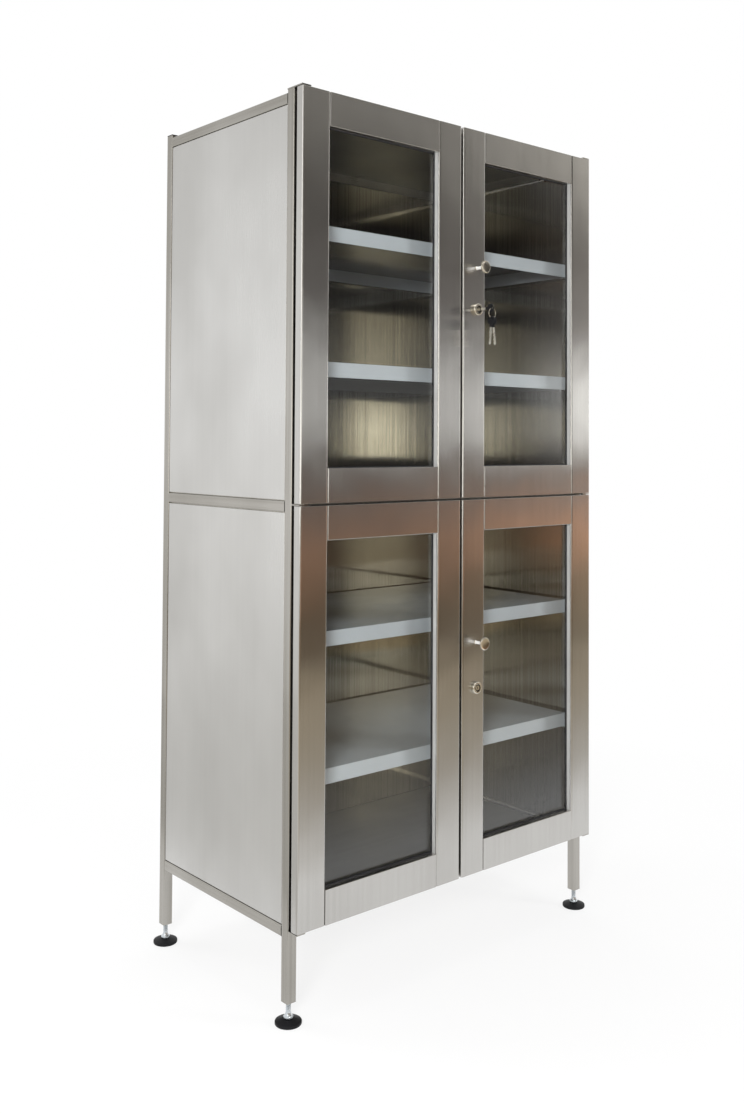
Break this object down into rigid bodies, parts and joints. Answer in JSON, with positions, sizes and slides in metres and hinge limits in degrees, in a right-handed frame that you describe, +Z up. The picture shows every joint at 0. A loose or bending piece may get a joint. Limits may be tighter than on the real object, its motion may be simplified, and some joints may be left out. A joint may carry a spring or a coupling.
{
  "type": "glass door medical cabinet",
  "caption": "Tall steel tube cabinet with upper and lower pairs of glazed doors on pivot plates, tray shelves, cam locks with hanging keys, and levelling feet.",
  "frame": {"origin": "on the floor, in the middle of the cabinet's overall width and depth, keys and pads included", "axes": "+Z up, the doors face -Y, +X to the right seen from the front"},
  "size_m": [1.035, 0.6654, 2.0673],
  "materials": {
    "tube_steel": "square tube, fine satin",
    "panel_steel": "satin stainless sheet",
    "door_steel": "brushed stainless sheet, grain upright",
    "shelf_steel": "pale satin coating",
    "glass": "clear float glass",
    "seal": "matt black glazing strip",
    "nickel": "bright nickel plate",
    "zinc": "bright bluish zinc plate",
    "black_plastic": "matt black moulding"
  },
  "bodies": {
    "cabinet": {"post_front_left": "tube_steel", "post_front_right": "tube_steel", "post_back_left": "tube_steel", "post_back_right": "tube_steel", "side_rail_bottom_left": "tube_steel", "pivot_plate_bottom_left": "tube_steel", "side_rail_middle_left": "tube_steel", "pivot_plate_middle_left": "tube_steel", "side_rail_top_left": "tube_steel", "pivot_plate_top_left": "tube_steel", "side_panel_lower_left": "panel_steel", "side_panel_upper_left": "panel_steel", "side_rail_bottom_right": "tube_steel", "pivot_plate_bottom_right": "tube_steel", "side_rail_middle_right": "tube_steel", "pivot_plate_middle_right": "tube_steel", "side_rail_top_right": "tube_steel", "pivot_plate_top_right": "tube_steel", "side_panel_lower_right": "panel_steel", "side_panel_upper_right": "panel_steel", "top_panel": "panel_steel", "middle_deck": "panel_steel", "floor_deck": "panel_steel", "back_panel": "panel_steel", "shelf_upper_top": "shelf_steel", "shelf_upper_low": "shelf_steel", "shelf_lower_top": "shelf_steel", "shelf_lower_low": "shelf_steel"},
    "door_lower_left": {"door_frame_lower_left": "door_steel", "door_seal_lower_left": "seal", "door_glass_lower_left": "glass"},
    "door_lower_right": {"door_frame_lower_right": "door_steel", "door_seal_lower_right": "seal", "door_glass_lower_right": "glass", "knob_lower": "nickel", "lock_housing_lower": "nickel"},
    "door_upper_left": {"door_frame_upper_left": "door_steel", "door_seal_upper_left": "seal", "door_glass_upper_left": "glass"},
    "door_upper_right": {"door_frame_upper_right": "door_steel", "door_seal_upper_right": "seal", "door_glass_upper_right": "glass", "knob_upper": "nickel", "lock_housing_upper": "nickel"},
    "lock_lower": {"lock_plug_lower": "nickel", "lock_cam_lower": "zinc"},
    "lock_upper": {"lock_plug_upper": "nickel", "lock_cam_upper": "zinc"},
    "key": {"key_in_lock": "black_plastic"},
    "ring": {"key_ring": "nickel"},
    "hanging_key_outer": {"key_hanging_outer": "black_plastic"},
    "hanging_key_inner": {"key_hanging_inner": "black_plastic"},
    "foot_front_left": {"foot_stud_front_left": "zinc"},
    "pad_front_left": {"foot_pad_front_left": "black_plastic"},
    "foot_front_right": {"foot_stud_front_right": "zinc"},
    "pad_front_right": {"foot_pad_front_right": "black_plastic"},
    "foot_back_left": {"foot_stud_back_left": "zinc"},
    "pad_back_left": {"foot_pad_back_left": "black_plastic"},
    "foot_back_right": {"foot_stud_back_right": "zinc"},
    "pad_back_right": {"foot_pad_back_right": "black_plastic"}
  },
  "joints": [
    {"name": "door_lower_left_hinge", "type": "hinge", "parent": "cabinet", "child": "door_lower_left", "pos_m": [-0.487, -0.25525, 0.6705], "axis": [0, 0, -1], "range_deg": [0, 170]},
    {"name": "door_lower_right_hinge", "type": "hinge", "parent": "cabinet", "child": "door_lower_right", "pos_m": [0.487, -0.25525, 0.6705], "axis": [0, 0, 1], "range_deg": [0, 170]},
    {"name": "door_upper_left_hinge", "type": "hinge", "parent": "cabinet", "child": "door_upper_left", "pos_m": [-0.487, -0.25525, 1.6005], "axis": [0, 0, -1], "range_deg": [0, 170]},
    {"name": "door_upper_right_hinge", "type": "hinge", "parent": "cabinet", "child": "door_upper_right", "pos_m": [0.487, -0.25525, 1.6005], "axis": [0, 0, 1], "range_deg": [0, 170]},
    {"name": "lock_lower_turn", "type": "hinge", "parent": "door_lower_right", "child": "lock_lower", "pos_m": [0.05, -0.26775, 0.666], "axis": [0, 1, 0], "range_deg": [0, 90]},
    {"name": "lock_upper_turn", "type": "hinge", "parent": "door_upper_right", "child": "lock_upper", "pos_m": [0.05, -0.26775, 1.609], "axis": [0, 1, 0], "range_deg": [0, 90]},
    {"name": "key_slide", "type": "slide", "parent": "lock_upper", "child": "key", "axis": [0, -1, 0], "range_m": [0, 0.024]},
    {"name": "ring_swing", "type": "hinge", "parent": "key", "child": "ring", "pos_m": [0.05, -0.32175, 1.6076], "axis": [1, 0, 0], "range_deg": [-90, 20]},
    {"name": "hanging_key_outer_swing", "type": "hinge", "parent": "ring", "child": "hanging_key_outer", "pos_m": [0.0524, -0.32175, 1.58384], "axis": [1, 0, 0], "range_deg": [-60, 15]},
    {"name": "hanging_key_inner_swing", "type": "hinge", "parent": "ring", "child": "hanging_key_inner", "pos_m": [0.0476, -0.32175, 1.58384], "axis": [1, 0, 0], "range_deg": [-60, 15]},
    {"name": "foot_front_left_level", "type": "slide", "parent": "cabinet", "child": "foot_front_left", "axis": [0, 0, 1], "range_m": [-0.015, 0.02]},
    {"name": "pad_front_left_tilt", "type": "hinge", "parent": "foot_front_left", "child": "pad_front_left", "pos_m": [-0.4875, -0.22225, 0.009], "axis": [1, 0, 0], "range_deg": [-8, 8]},
    {"name": "foot_front_right_level", "type": "slide", "parent": "cabinet", "child": "foot_front_right", "axis": [0, 0, 1], "range_m": [-0.015, 0.02]},
    {"name": "pad_front_right_tilt", "type": "hinge", "parent": "foot_front_right", "child": "pad_front_right", "pos_m": [0.4875, -0.22225, 0.009], "axis": [1, 0, 0], "range_deg": [-8, 8]},
    {"name": "foot_back_left_level", "type": "slide", "parent": "cabinet", "child": "foot_back_left", "axis": [0, 0, 1], "range_m": [-0.015, 0.02]},
    {"name": "pad_back_left_tilt", "type": "hinge", "parent": "foot_back_left", "child": "pad_back_left", "pos_m": [-0.4875, 0.30275, 0.009], "axis": [1, 0, 0], "range_deg": [-8, 8]},
    {"name": "foot_back_right_level", "type": "slide", "parent": "cabinet", "child": "foot_back_right", "axis": [0, 0, 1], "range_m": [-0.015, 0.02]},
    {"name": "pad_back_right_tilt", "type": "hinge", "parent": "foot_back_right", "child": "pad_back_right", "pos_m": [0.4875, 0.30275, 0.009], "axis": [1, 0, 0], "range_deg": [-8, 8]}
  ]
}
